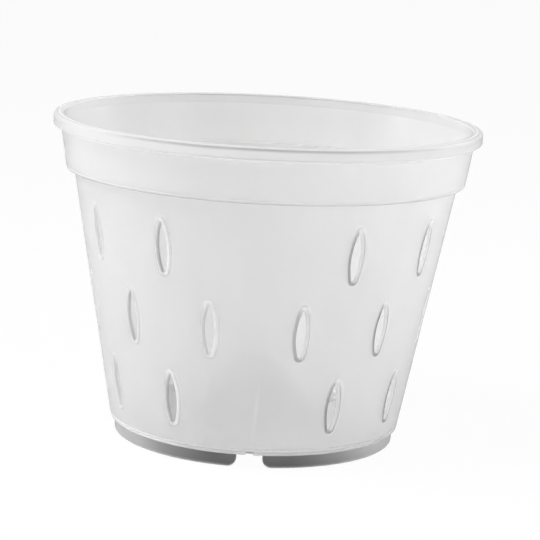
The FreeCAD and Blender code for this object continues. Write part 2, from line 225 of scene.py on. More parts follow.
class StudioSetup(bpy.types.PropertyGroup):
    """Camera, floor, lamps and backdrop."""

    distance: length(0.8169, "Distance", "Camera from the point that it looks at")
    target_height: length(0.055, "Target", "Height of the point that the camera looks at")
    azimuth: angle(0.8 * DEGREE, "Azimuth", "Camera round the pot")
    elevation: angle(11.247 * DEGREE, "Elevation", "Camera above level")
    roll: angle(2.947 * DEGREE, "Roll", "Camera turned about its line of sight")
    lens: focus(153.33, "Lens", "Focal length in millimetres on a 36 mm sensor")
    shift_x: share(0.0178, "Shift X", "Sideways shift of the picture")
    shift_y: share(0.0194, "Shift Y", "Upward shift of the picture")
    world: amount(0.15, "World", "Strength of the white surroundings")
    key: power(5.8, "Key lamp", "Wide lamp high up at the left in front")
    left: power(2.4, "Left lamp", "Tall lamp at the left")
    right: power(2.0, "Right lamp", "Tall lamp at the right in front")
    rim: power(1.8, "Rim lamp", "Tall lamp at the right behind")
    lamp_distance: length(0.9, "Lamp distance", "Lamps from the middle of the pot")
    floor: colour((0.95, 0.95, 0.95), "Floor", "Colour of the floor")
    floor_white: share(0.95, "Floor white", "Share of plain white that the camera sees")
    floor_reach: length(3.0, "Floor reach", "Half the width of the floor")
    floor_drop: length(0.2 * MM, "Floor drop", "Floor below the feet")


def shape():
    """The sizes of the moulding."""
    return bpy.context.scene.pot_shape


def look():
    """The settings of the plastic."""
    return bpy.context.scene.pot_plastic


def studio():
    """The settings of the studio."""
    return bpy.context.scene.pot_studio


def taper(height, bottom, top, foot, head):
    """Radius at a height, on a straight line from foot at the bottom to head at the top."""
    return foot + (height - bottom) / (top - bottom) * (head - foot)


def wall_radius(height):
    """Outside of the wall, from the heel to the step."""
    bottom, top = low("slotted_wall"), high("slotted_wall")
    return taper(height, bottom, top, shape().wall_foot_radius, reach("slotted_wall"))


def collar_radius(height):
    """Outside of the collar, from the step to the underside of the lip."""
    foot = reach("slotted_wall") + shape().step_overhang
    head = reach("rim_lip") - shape().lip_overhang
    return taper(height, low("stacking_step"), low("rim_lip"), foot, head)


def heel_corner():
    """Outside radius of the heel, before its edge is rounded."""
    return float(wall_radius(low("heel_ring")))


def foot_radius():
    """Outside of the feet."""
    return heel_corner() - shape().heel_round


def foot_inside():
    """Inside of the feet, where the floor starts."""
    return foot_radius() - shape().foot_width


def cone_radius(height):
    """Outside of the cone, from the floor to the cap."""
    bottom, top = high("drain_floor"), high("air_cone")
    return taper(height, bottom, top, reach("air_cone"), reach("cone_cap"))


class Corner(NamedTuple):
    """A corner of an outline in radius and height.

    joint marks the side from this corner to the next as a place where two regions of the
    moulding join. tone is the painted shade at the middle of the rounding, or the painted
    highlight if it is below zero.
    """

    across: float
    up: float
    rounding: float = 0
    joint: bool = False
    tone: float = 0


def rounded(corners, steps=6):
    """A closed outline whose corners are rounded.

    An arc touches both sides of its corner at rounding / tan(half the angle between them), and
    a point beside it on each side keeps the side flat in the shading. Two arcs on one side share
    its room by their size. Gives the points, whether each side is a joint, and the tones.
    """
    spots = np.array([corner[:2] for corner in corners])
    before, after = np.roll(spots, 1, 0) - spots, np.roll(spots, -1, 0) - spots
    long = np.linalg.norm([before, after], axis=2)
    before, after = before / long[0][:, None], after / long[1][:, None]
    halves = np.arccos(np.clip((before * after).sum(1), -1, 1)) / 2
    touches = np.array([corner.rounding for corner in corners]) / np.tan(halves)
    others = np.array([np.roll(touches, 1), np.roll(touches, -1)])
    shares = touches / np.maximum(touches + others, SAME_POINT)
    rooms = (SUPPORT_ROOM * (long - touches - others) * shares).T
    points, joints, tones = [], [], []
    for spot, back, on, half, touch, room, corner in zip(
        spots, before, after, halves, touches, rooms, corners
    ):
        if corner.rounding == 0:
            points.append(spot[None])
            joints.append([corner.joint])
            tones.append([corner.tone])
            continue
        inward = (back + on) / np.linalg.norm(back + on)
        middle = spot + inward * corner.rounding / math.sin(half)
        start, end = spot + back * touch, spot + on * touch
        swing = np.linspace(0, 1, steps + 1)[:, None]
        full = math.pi - 2 * half
        first, last = start - middle, end - middle
        arc = (np.sin((1 - swing) * full) * first + np.sin(swing * full) * last) / math.sin(full)
        near = np.minimum(corner.rounding * SUPPORT, room)
        support = np.array([start + back * near[0], end + on * near[1]])
        points.append(np.vstack([support[:1], middle + arc, support[1:]]))
        joints.append([False] * (steps + 2) + [corner.joint])
        tones.append(corner.tone * np.sin(math.pi * np.linspace(0, 1, steps + 3)))
    return np.vstack(points), np.concatenate(joints).astype(bool), np.concatenate(tones)


def on_collar(height, depth=0, **more):
    """A corner at a height, this deep under the outside of the collar."""
    return Corner(collar_radius(height) - depth, height, **more)


def on_wall(height, depth=0, **more):
    """A corner at a height, this deep under the outside of the wall."""
    return Corner(wall_radius(height) - depth, height, **more)


def turned(outline, joints, tones, segments=RING_SEGMENTS):
    """A closed outline of radius and height taken round the axis."""
    around = np.linspace(0, TURN, segments, endpoint=False)[:, None]
    ring = surface(outline[:, 0], around, outline[:, 1], True, True)
    both = np.maximum(np.stack([tones, -tones, 0 * tones], axis=1), 0)
    return *ring, np.tile(joints, segments), np.tile(both, (segments, 1))


def surface(radius, turn, height, close_rows=False, close_columns=False):
    """The points of a grid, and the corner numbers of its faces.

    A point is turned anticlockwise from +X, at (r cos t, r sin t, z). The grid may close on
    itself either way.
    """
    axes = np.broadcast_arrays(radius * np.cos(turn), radius * np.sin(turn), height)
    rows, columns = axes[0].shape
    index = np.arange(rows * columns).reshape(rows, columns)
    right, up = np.roll(index, -1, 1), np.roll(index, -1, 0)
    across = np.roll(up, -1, 1)
    quads = np.stack([index, up, across, right], axis=-1)
    quads = quads[: rows if close_rows else rows - 1, : columns if close_columns else columns - 1]
    return np.stack(axes, -1).reshape(-1, 3), quads.reshape(-1, 4)


def welded(parts):
    """Joins parts given as (points, quads, joints, tones), with shared points made one."""
    points = np.vstack([part[0] for part in parts])
    starts = np.cumsum([0] + [len(part[0]) for part in parts[:-1]])
    quads = np.vstack([part[1] + start for part, start in zip(parts, starts)])
    joints = np.concatenate([np.broadcast_to(part[2], len(part[1])) for part in parts])
    tones = np.vstack([np.broadcast_to(part[3], (len(part[0]), 3)) for part in parts])
    keys = np.round(points / SAME_POINT).astype(np.int64)
    _, first, place = np.unique(keys, axis=0, return_index=True, return_inverse=True)
    return points[first], place.reshape(-1)[quads], joints, tones[first]


def add_piece(name, nodes, points, quads, joints, tones):
    """Makes a closed mesh of four and three sided faces and lets it stand for its solids.

    A quad with two corners in one point, as at the axis, becomes a triangle, and one with more
    is left out. tones has the painted shade, the painted highlight and the painted shade that
    fades where a face turns from the camera, of each point.
    """
    again = quads == np.roll(quads, -1, 1)
    pole = again.any(1)
    shift = np.argmax(again, 1)[pole]
    order = (shift[:, None] + np.arange(1, 4)) % 4
    corners = np.take_along_axis(quads[pole], order, 1)
    kept = (corners != np.roll(corners, -1, 1)).all(1)
    mesh = bpy.data.meshes.new(name)
    mesh.from_pydata(points.tolist(), [], quads[~pole].tolist() + corners[kept].tolist())
    flags = np.concatenate([joints[~pole], joints[pole][kept]]).astype(np.int32)
    mesh.polygons.foreach_set("material_index", flags)
    # shade and ground hold painted shade and shine holds painted highlights; ground's painted
    # shade fades at grazing.
    for column, label in enumerate(("shade", "shine", "ground")):
        attribute = mesh.attributes.new(label, "FLOAT", "POINT")
        attribute.data.foreach_set("value", tones[:, column].astype(np.float32))
    editable = bmesh.new()
    editable.from_mesh(mesh)
    bmesh.ops.recalc_face_normals(editable, faces=editable.faces)
    editable.to_mesh(mesh)
    editable.free()
    mesh.shade_smooth()
    mesh.set_sharp_from_angle(angle=SHARP_EDGE)
    mesh.materials.append(milky_plastic())
    mesh.materials.append(clear_joint())
    piece = bpy.data.objects.new(name, mesh)
    bpy.context.scene.collection.objects.link(piece)
    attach(piece, BODY)
    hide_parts(*nodes)
    return piece


def leaf(height):
    """Half the width of a wall slot at a height above its middle.

    Two arcs centred level with the widest place swell the sides. A half circle closes each end.
    """
    s = shape()
    widest = s.slot_rise - s.slot_length / 2
    half = s.slot_width / 2

    def part(end_half, end):
        span = end - widest
        centre = (half**2 - end_half**2 - span**2) / (2 * (half - end_half))
        arc = centre + np.sqrt(np.maximum((half - centre) ** 2 - (height - widest) ** 2, 0))
        cap = np.sqrt(np.maximum(end_half**2 - (height - end) ** 2, 0))
        return np.where((height - end) * span > 0, cap, arc)

    above = part(s.slot_top_width / 2, (s.slot_length - s.slot_top_width) / 2)
    below = part(s.slot_bottom_width / 2, (s.slot_bottom_width - s.slot_length) / 2)
    return np.where(height > widest, above, below)


def stadium(width, long):
    """Half the width of a round ended slot, as a function of the place along it."""

    def half(along):
        beyond = np.maximum(np.abs(along) - (long - width) / 2, 0)
        return np.sqrt(np.maximum((width / 2) ** 2 - beyond**2, 0))

    return half


def stretches(ends):
    """Values along a cell's border, clockwise from its top's middle, in five even stretches."""
    s = shape()
    counts = (s.columns // 2, s.rows, s.columns, s.rows, s.columns // 2)
    return np.concatenate([
        np.linspace(start, end, count, endpoint=False)
        for start, end, count in zip(ends, ends[1:], counts)
    ])


class Opening(NamedTuple):
    """A slot through a thin wall: its half width along it, and its bead and rolled edge."""

    half_width: Callable
    long: float
    middle: float
    wall: float
    bead: float
    roll: float
    seat: float


def slot_rings(slot, offsets, turns):
    """Rings of points at offsets outside a slot's edge, as places across and along.

    A turn t is at the height of half the length times cos t above the middle, on the right side
    while sin t is above zero. The offset goes square to the edge.
    """
    along = slot.long / 2 * np.cos(turns)
    across = np.sign(np.sin(turns)) * slot.half_width(along)
    step_across = np.roll(across, -1) - np.roll(across, 1)
    step_along = np.roll(along, -1) - np.roll(along, 1)
    shift = offsets / np.hypot(step_across, step_along)
    return across - shift * step_along, slot.middle + along + shift * step_across


def edge_tones(centre, turns, outer, over, bend, inner):
    """The painted shade and painted highlights of the rings round a slot, as if lit from -X.

    The rings lie on the outer face, over the flank of the bead, round the bend of the edge and
    on the inner face. Where the slot faces +X its left edge is painted dark and its right face
    bright.
    Where it faces -X its edges are bright and its left face is dark. The dark grows away from
    the front, and every tone fades where the slot faces straight sideways. The numbers were
    matched to the photo's slots.
    """
    rolled = bend / math.pi

    def rings(flank, edge):
        values = [0 * outer, flank + 0 * over, edge + 0 * bend, 0 * inner]
        return np.concatenate(values)[:, None]

    wide = rings(over**2, np.clip(3 - 4 * rolled, 0, 1))
    thin = rings(over**5, np.clip(1 - 5 * rolled, 0, 1))
    face = rings(0, np.clip(5 * rolled - 0.7, 0, 1))
    flank = rings(np.sin(math.pi * over), 0)
    flank[len(outer) - 1] = 0.4
    sideways = math.cos(centre)
    slant = abs(sideways)
    east = np.clip(0.5 + 1.8 * sideways, 0, 1)
    west = 1 - east
    right = 0.5 + 0.5 * np.tanh(3 * np.sin(turns))
    left = 1 - right
    top = np.maximum(np.cos(turns), 0) ** 6
    foot = np.maximum(-np.cos(turns), 0) ** 8
    east_dark = (wide * left + 0.9 * thin * right + 0.5 * wide * foot) * (1 - top)
    west_dark = min(1, 1.4 * slant) * face * left + 0.15 * flank * (right + 2 * foot)
    dark = east * min(1, 0.6 + 0.6 * slant) * east_dark + west * west_dark
    east_bright = (face + 0.8 * flank) * right
    west_bright = (wide + 0.6 * flank) * right + thin * left
    bright = east * east_bright + west * west_bright + (wide + flank) * top
    fade = min(1, (1 - slant) / (0.13 * east + 0.5 * west))
    return fade * np.clip(dark, 0, 1), fade * np.clip(bright, 0, 1)


def slotted_cell(place, centre, half_angle, start, end, slot, dark, bright):
    """A piece of a thin wall with one slot through it, as one grid of rings.

    The rings run from the cell's border over the outer face, up the bead, round the rolled edge
    of the slot and over the inner face back to the border. The edge is half an ellipse: a turn t
    is at roll * sin t from its start towards the slot, and at the middle of its depth minus half
    its thickness times cos t. place gives radius and height for a place along the wall and a
    depth under its outer face. dark is the shade of the wall and bright the most shine.
    """
    s = shape()
    corner, half = CELL_CORNER, TURN / 2
    turns = stretches((0, corner, half - corner, half + corner, TURN - corner, TURN))
    border = stretches(np.array([(0, 1), (1, 1), (1, -1), (-1, -1), (-1, 1), (0, 1)])).T
    border_angle = border[0] * half_angle
    border_along = (start + end) / 2 + border[1] * (end - start) / 2
    spread = np.array([0, 0.3, 0.55, 0.75, 0.9, 1.0])
    over = np.linspace(0, 1, FLANK_STEPS + 1)[1:-1]
    bend = np.linspace(0, math.pi, BEND_STEPS + 1)
    outer, inner = 0 * spread, 0 * spread[1:]
    near = slot.seat + s.bead_width
    offsets = np.concatenate([
        outer + near,
        near - over * s.bead_width,
        slot.seat - slot.roll * np.sin(bend),
        inner + slot.seat,
    ])
    depths = np.concatenate([
        outer,
        -slot.bead * over * over * (3 - 2 * over),
        (slot.wall - slot.bead) / 2 - (slot.wall + slot.bead) / 2 * np.cos(bend),
        inner + slot.wall,
    ])
    blends = np.concatenate([spread, 1 + 0 * over, 1 + 0 * bend, spread[::-1][1:]])
    offsets, depths, blends = offsets[:, None], depths[:, None], blends[:, None]
    across, along = slot_rings(slot, offsets, turns)
    turn = border_angle + blends * (across / place(along, depths)[0] - border_angle)
    radius, height = place(border_along + blends * (along - border_along), depths)
    points, quads = surface(radius, centre + turn, height, False, True)
    # Painted shade and painted highlights round the slot's edge, on top of dark, the wall's
    # painted shade.
    shade, shine = edge_tones(centre, turns, outer, over, bend, inner)
    shade = dark + (1 - dark) * s.edge_shade * shade
    tones = np.stack([shade, bright * shine, 0 * shade], axis=-1)
    return points, quads, False, tones.reshape(-1, 3)


def plain_cell(place, centre, half_angle, start, end, wall, dark=0.0):
    """The two faces of a piece of thin wall without a slot, with dark as their painted shade."""
    s = shape()
    angles = centre + np.linspace(-half_angle, half_angle, s.columns + 1)
    alongs = np.linspace(start, end, s.rows + 1)[:, None]
    parts = []
    for depth in (0.0, wall):
        radius, height = place(alongs, depth)
        parts.append((*surface(radius, angles, height), False, (dark, 0.0, 0.0)))
    return parts


def closing_strip(path, joints, cells, dark=0.0):
    """A strip that runs once round the axis along a path of (radius, height), with dark as its
    painted shade.
    """
    count = cells * shape().columns
    half = TURN / cells / 2
    turns = np.linspace(0, TURN, count, endpoint=False)[:, None] + half
    radius, height = np.array(path).T
    return *surface(radius, turns, height, True), np.tile(joints, count), (dark, 0.0, 0.0)


class MakeCollar(bpy.types.Operator):
    """Make the lip, the collar and the step as rings with rounded edges"""

    bl_idname = "orchid_pot.make_collar"
    bl_label = "Make Lip and Collar"

    def execute(self, context):
        s = shape()
        outside, top, under = reach("rim_lip"), high("rim_lip"), low("rim_lip")
        seat = high("collar_band")
        # The lip's rounded edges are painted dark as painted shade, and a painted highlight line
        # runs along the middle of its top.
        small, soft, faint = s.lip_small_round, 0.6 * s.lip_shade, 0.4 * s.lip_shade
        outline = rounded([
            on_collar(under, tone=faint),
            Corner(outside, under, small, tone=soft),
            Corner(outside, top, s.lip_top_round, tone=s.lip_shade),
            Corner(outside - s.lip_width / 2, top, tone=-s.line_shine),
            Corner(outside - s.lip_width, top, small, tone=soft),
            on_collar(seat, s.wall, joint=True),
            on_collar(seat, joint=True),
        ])
        points, quads, joints, tones = turned(*outline)
        # The lip's painted shade goes to the third column, so that it fades where the lip turns
        # from the camera.
        grounded = tones[:, (2, 1, 0)]
        add_piece("beaded_lip", ["rim_lip"], points, quads, joints, grounded)

        foot = high("stacking_step")
        line = s.line_width
        # A painted highlight line runs on the collar just under the lip, and its top is painted
        # dark as painted shade.
        outline = rounded([
            on_collar(foot, s.wall, joint=True),
            on_collar(foot),
            on_collar(under - 2 * line),
            on_collar(under - line, tone=-s.line_shine),
            on_collar(under, joint=True, tone=0.3 * s.lip_shade),
            on_collar(seat, joint=True),
            on_collar(seat, s.wall),
        ])
        add_piece("plain_collar", ["collar_band"], *turned(*outline))

        bottom = low("stacking_step")
        edge = wall_radius(bottom) + s.step_overhang
        # The step's lower edge is painted dark as painted shade, with a painted highlight line on
        # the collar above it.
        outline = rounded([
            on_wall(bottom, s.wall, joint=True),
            on_wall(bottom, tone=s.step_shade),
            Corner(edge, bottom, s.step_round, tone=s.step_shade),
            on_collar(foot - line, tone=-s.line_shine),
            on_collar(foot, joint=True),
            on_collar(foot, s.wall),
            on_wall(foot, s.wall),
        ])
        add_piece("nesting_step", ["stacking_step"], *turned(*outline))
        return {"FINISHED"}


class MakeWall(bpy.types.Operator):
    """Make the tapering wall with its three rows of beaded slots"""

    bl_idname = "orchid_pot.make_wall"
    bl_label = "Make Slotted Wall"

    def execute(self, context):
        s = shape()
        bottom, top = low("slotted_wall"), high("slotted_wall")
        lowest = bottom + s.slot_margin_below + s.slot_length / 2
        highest = top - s.slot_margin_above - s.slot_length / 2
        middle = (lowest + highest) / 2
        borders = (bottom, (lowest + middle) / 2, (middle + highest) / 2, top)

        def place(along, depth):
            return wall_radius(along) - depth, along

        cells = 12
        half = TURN / cells / 2
        parts = []
        for row, height in enumerate((lowest, middle, highest)):
            start, end = borders[row], borders[row + 1]
            slot = Opening(
                leaf, s.slot_length, height, s.wall, s.bead_height, s.slot_roll, s.slot_seat
            )
            shifted = row == 1
            for cell in range(cells):
                centre = TURN * (cell + 0.5 * shifted) / cells
                if shifted or cell % 3:
                    parts.append(slotted_cell(place, centre, half, start, end, slot, 0, 1))
                else:
                    parts += plain_cell(place, centre, half, start, end, s.wall)
        for height in (bottom, top):
            outside = wall_radius(height)
            ring = ((outside, height), (outside - s.wall, height))
            parts.append(closing_strip(ring, True, cells))
        add_piece("slotted_shell", ["slotted_wall"], *welded(parts))
        return {"FINISHED"}


class MakeBase(bpy.types.Operator):
    """Make the heel, the floor, the cone with its cap, and the four feet"""

    bl_idname = "orchid_pot.make_base"
    bl_label = "Make Base"

    def execute(self, context):
        self.heel()
        self.floor()
        self.cone()
        for quarter, name in enumerate(FEET):
            self.foot(name, QUARTER * (quarter + 0.5))
        return {"FINISHED"}

    def heel(self):
        """The heel, whose underside rises over each foot gap in a notch with sloped sides.

        A painted highlight line starts above its rounding and laps over the foot of the wall. The
        notch is painted dark, as painted shade, where it shows, clear of the feet.
        """
        s = shape()
        under, top, floor = low("heel_ring"), high("heel_ring"), high("drain_floor")
        line = under + 1.2 * s.heel_round
        dark, shine = s.floor_painted_shade, -s.line_shine
        # The heel's underside and inner corner carry the floor's painted shade, and its rounded
        # edge painted shade under a painted highlight line.
        outline = rounded([
            Corner(foot_inside(), under, tone=dark),
            Corner(foot_radius(), under, tone=dark),
            Corner(heel_corner(), under, 0.99 * s.heel_round, tone=s.heel_shade),
            on_wall(line, tone=shine),
            on_wall(line + s.line_width, tone=shine),
            on_wall(line + 2 * s.line_width),
            on_wall(top, joint=True),
            on_wall(top, s.wall),
            on_wall(floor, s.wall, rounding=s.inner_round),
            Corner(foot_inside(), floor, joint=True, tone=dark),
        ])
        points, quads, joints, tones = turned(*outline, HEEL_SEGMENTS)
        radius = np.hypot(points[:, 0], points[:, 1])
        turn = np.arctan2(points[:, 1], points[:, 0])
        off = np.abs((turn + QUARTER / 2) % QUARTER - QUARTER / 2) * radius
        ramp = np.clip((s.notch_width / 2 - off) / s.notch_slope + 0.5, 0, 1)
        lowest = under + s.notch_depth * ramp * ramp * (3 - 2 * ramp)
        points[:, 2] = np.maximum(points[:, 2], lowest)
        # Painted shade on the notch where it shows, and no painted highlight there.
        clear = radius > foot_radius() + 0.1 * MM
        close = clear * ramp * np.clip(1 - (points[:, 2] - lowest) / s.notch_depth, 0, 1)
        tones[:, 0] = np.maximum(tones[:, 0], s.notch_shade * close)
        tones[:, 1] *= 1 - close
        add_piece("rounded_heel", ["heel_ring"], points, quads, joints, tones)

    def floor(self):
        """The floor, cut into eight cells with one drain slot each."""
        s = shape()
        cells = 8
        half = TURN / cells / 2
        start, end = reach("air_cone"), foot_inside()
        top, under = high("drain_floor"), low("drain_floor")
        middle = (s.drain_start + s.drain_end) / 2
        long = s.drain_end - s.drain_start

        def place(along, depth):
            return along, top - depth

        # The floor is painted evenly darker, as painted shade.
        dark = s.floor_painted_shade
        edge = s.plain_round
        slot = Opening(stadium(s.drain_width, long), long, middle, top - under, 0, edge, edge)
        parts = [
            slotted_cell(place, TURN * cell / cells, half, start, end, slot, dark, 0)
            for cell in range(cells)
        ]
        for radius in (start, end):
            parts.append(closing_strip(((radius, top), (radius, under)), True, cells, dark))
        add_piece("drained_floor", ["drain_floor"], *welded(parts))

    def cone(self):
        """The cone, cut into eight cells of which four have a vent, and its rounded cap."""
        s = shape()
        cells = 8
        half = TURN / cells / 2
        start, end, under = high("drain_floor"), high("air_cone"), low("air_cone")
        middle = (start + end) / 2

        def place(along, depth):
            return cone_radius(along) - depth, along

        # The cone and its cap are painted evenly darker, as painted shade.
        dark = s.cone_shade
        edge = s.plain_round
        vent = Opening(
            stadium(s.vent_width, s.vent_length), s.vent_length, middle, s.cone_wall, 0, edge, edge
        )
        parts = []
        for cell in range(cells):
            centre = TURN * cell / cells
            if cell % 2:
                parts += plain_cell(place, centre, half, start, end, s.cone_wall, dark)
            else:
                parts.append(slotted_cell(place, centre, half, start, end, vent, dark, 0))
        base, throat = reach("air_cone"), reach("cone_cap")
        inside = base - s.cone_wall
        skirt = ((base, start), (base, under), (inside, under), (inside, start))
        parts.append(closing_strip(skirt, (True, False, False), cells, dark))
        ring = ((throat, end), (throat - s.cone_wall, end))
        parts.append(closing_strip(ring, True, cells, dark))
        add_piece("vented_cone", ["air_cone"], *welded(parts))

        top = high("cone_cap")
        outline = rounded([
            Corner(0, end, tone=dark),
            Corner(throat - s.cone_wall, end, joint=True, tone=dark),
            Corner(throat, end, tone=dark),
            Corner(throat, top, s.cap_round, tone=dark),
            Corner(0, top, tone=dark),
        ])
        add_piece("closed_cap", ["cone_cap"], *welded([turned(*outline, CAP_SEGMENTS)]))

    def foot(self, name, middle):
        """A foot: its section follows an arc, and near each end its underside rises in a curve.

        At a distance x from an end, under the rounding R, the underside is at R - sqrt(R^2 -
        (R - x)^2), and the section there is squeezed between that height and the floor.
        """
        s = shape()
        top = high(name)
        outline, joints, _ = rounded([
            Corner(foot_inside(), 0, s.foot_inner_round),
            Corner(foot_radius(), 0, s.foot_edge_round),
            Corner(foot_radius(), top, joint=True),
            Corner(foot_inside(), top),
        ])
        reach_angle = QUARTER / 2 - math.asin(s.foot_gap / 2 / foot_radius())
        bend = np.linspace(0, math.pi / 2, BEND_STEPS + 1)
        near = s.foot_end_round * (1 - np.cos(bend))
        rise = s.foot_end_round * (1 - np.sin(bend))
        inner = np.linspace(0, 1, FOOT_STEPS + 1)[1:-1]
        start = -reach_angle + near / foot_radius()
        span = start[-1] + inner * (-2 * start[-1])
        turns = np.concatenate([start, span, -start[::-1]])
        lift = np.concatenate([rise, 0 * inner, rise[::-1]])
        ends = np.concatenate([near, 0 * inner + 1, near[::-1]])
        slim = 1 - s.foot_slim * np.clip(1 - ends / s.foot_end, 0, 1) ** 2
        radius, height = outline.T
        core = (foot_inside() + foot_radius()) / 2
        width = core + (radius - core) * slim[:, None]
        squeezed = lift[:, None] + height * (top - lift[:, None]) / top
        body = surface(width, middle + turns[:, None], squeezed, False, True)
        parts = [(*body, np.tile(joints, len(turns) - 1), self.foot_tones(body[0], top))]
        shrink = np.array([1, 0.6, 0.2, 0])[:, None]
        for station in (0, -1):
            centre = (squeezed[station].min() + top) / 2
            cap_width = core + (width[station] - core) * shrink
            cap_height = centre + (squeezed[station] - centre) * shrink
            cap = surface(cap_width, middle + turns[station], cap_height, False, True)
            parts.append((*cap, False, self.foot_tones(cap[0], top)))
        add_piece(f"{name}_arc", [name], *welded(parts))

    def foot_tones(self, points, top):
        """Painted shade that deepens from a foot's top to the ground: shade = top + (1 - top)(1 -
        z / height).
        """
        light = shape().foot_shade
        fall = 1 - points[:, 2] / top
        return np.stack([0 * fall, 0 * fall, light + (1 - light) * fall], axis=1)


def feed(tree, socket, value):
    """Sets a socket to a value, or links another socket to it."""
    if isinstance(value, bpy.types.NodeSocket):
        tree.links.new(value, socket)
    else:
        socket.default_value = value


def node(tree, kind, **inputs):
    """Adds a shader node and sets its inputs, which are values or sockets."""
    made = tree.nodes.new(kind)
    for key, value in inputs.items():
        feed(tree, made.inputs[key.replace("_", " ")], value)
    return made


def fresh_material(name):
    """A new named material with only an output in its node tree."""
    material = bpy.data.materials.new(name)
    material.use_nodes = True
    material.node_tree.nodes.clear()
    output = material.node_tree.nodes.new("ShaderNodeOutputMaterial")
    return material, material.node_tree, output


def read(tree, label):
    """The socket of a named attribute of the mesh."""
    attribute = tree.nodes.new("ShaderNodeAttribute")
    attribute.attribute_name = label
    return attribute.outputs["Fac"]


def blend(tree, factor, first, second):
    """Mixes two colours, which are values or sockets.

    The node's colours are its inputs 6 and 7 and its output 2: the others mix numbers.
    """
    mix = tree.nodes.new("ShaderNodeMix")
    mix.data_type = "RGBA"
    tree.links.new(factor, mix.inputs["Factor"])
    for place, value in ((6, first), (7, second)):
        linked = isinstance(value, bpy.types.NodeSocket)
        feed(tree, mix.inputs[place], value if linked else (*value, 1))
    return mix.outputs[2]


def layer(tree, factor, first, second):
    """Mixes two shaders by a number or a socket."""
    mix = tree.nodes.new("ShaderNodeMixShader")
    for place, value in enumerate((factor, first, second)):
        feed(tree, mix.inputs[place], value)
    return mix.outputs[0]


def arithmetic(tree, operation, *values):
    """Works on numbers, which are values or sockets."""
    made = tree.nodes.new("ShaderNodeMath")
    made.operation = operation
    for place, value in enumerate(values):
        feed(tree, made.inputs[place], value)
    return made.outputs[0]


def flow_line(tree, place, p):
    """A faint upright line low on the front, where the melt met in the mould.

    It is brightest where x is flow_slant times z, at the height flow_middle, and fades out over
    flow_width to the sides and over flow_reach upwards and downwards.
    """
    axes = tree.nodes.new("ShaderNodeSeparateXYZ")
    tree.links.new(place.outputs["Object"], axes.inputs[0])
    x, y, z = axes.outputs
    across = arithmetic(tree, "MULTIPLY_ADD", z, -p.flow_slant, x)
    along = arithmetic(tree, "SUBTRACT", z, p.flow_middle)
    line = arithmetic(tree, "LESS_THAN", y, 0.0)
    for away, span in ((across, p.flow_width), (along, p.flow_reach)):
        away = arithmetic(tree, "DIVIDE", arithmetic(tree, "ABSOLUTE", away), span)
        near = arithmetic(tree, "MAXIMUM", arithmetic(tree, "SUBTRACT", 1.0, away), 0.0)
        line = arithmetic(tree, "MULTIPLY", line, near)
    return arithmetic(tree, "MULTIPLY", line, p.flow)


def variation(tree, place, p):
    """The factor by which clouds and upright streaks lighten the plastic, and the cloud node."""
    cloud = node(
        tree, "ShaderNodeTexNoise",
        Vector=place.outputs["Object"], Scale=p.cloud_scale, Detail=3.0,
    )
    tall = node(
        tree, "ShaderNodeMapping",
        Vector=place.outputs["Object"], Scale=(1, 1, p.streak_rise),
    )
    streak = node(
        tree, "ShaderNodeTexNoise",
        Vector=tall.outputs[0], Scale=p.streak_scale, Detail=2.0,
    )
    swell = 1 - (p.cloud + p.streak) / 2
    for noise, part in ((cloud, p.cloud), (streak, p.streak)):
        swell = arithmetic(tree, "MULTIPLY_ADD", noise.outputs["Fac"], part, swell)
    return swell, cloud


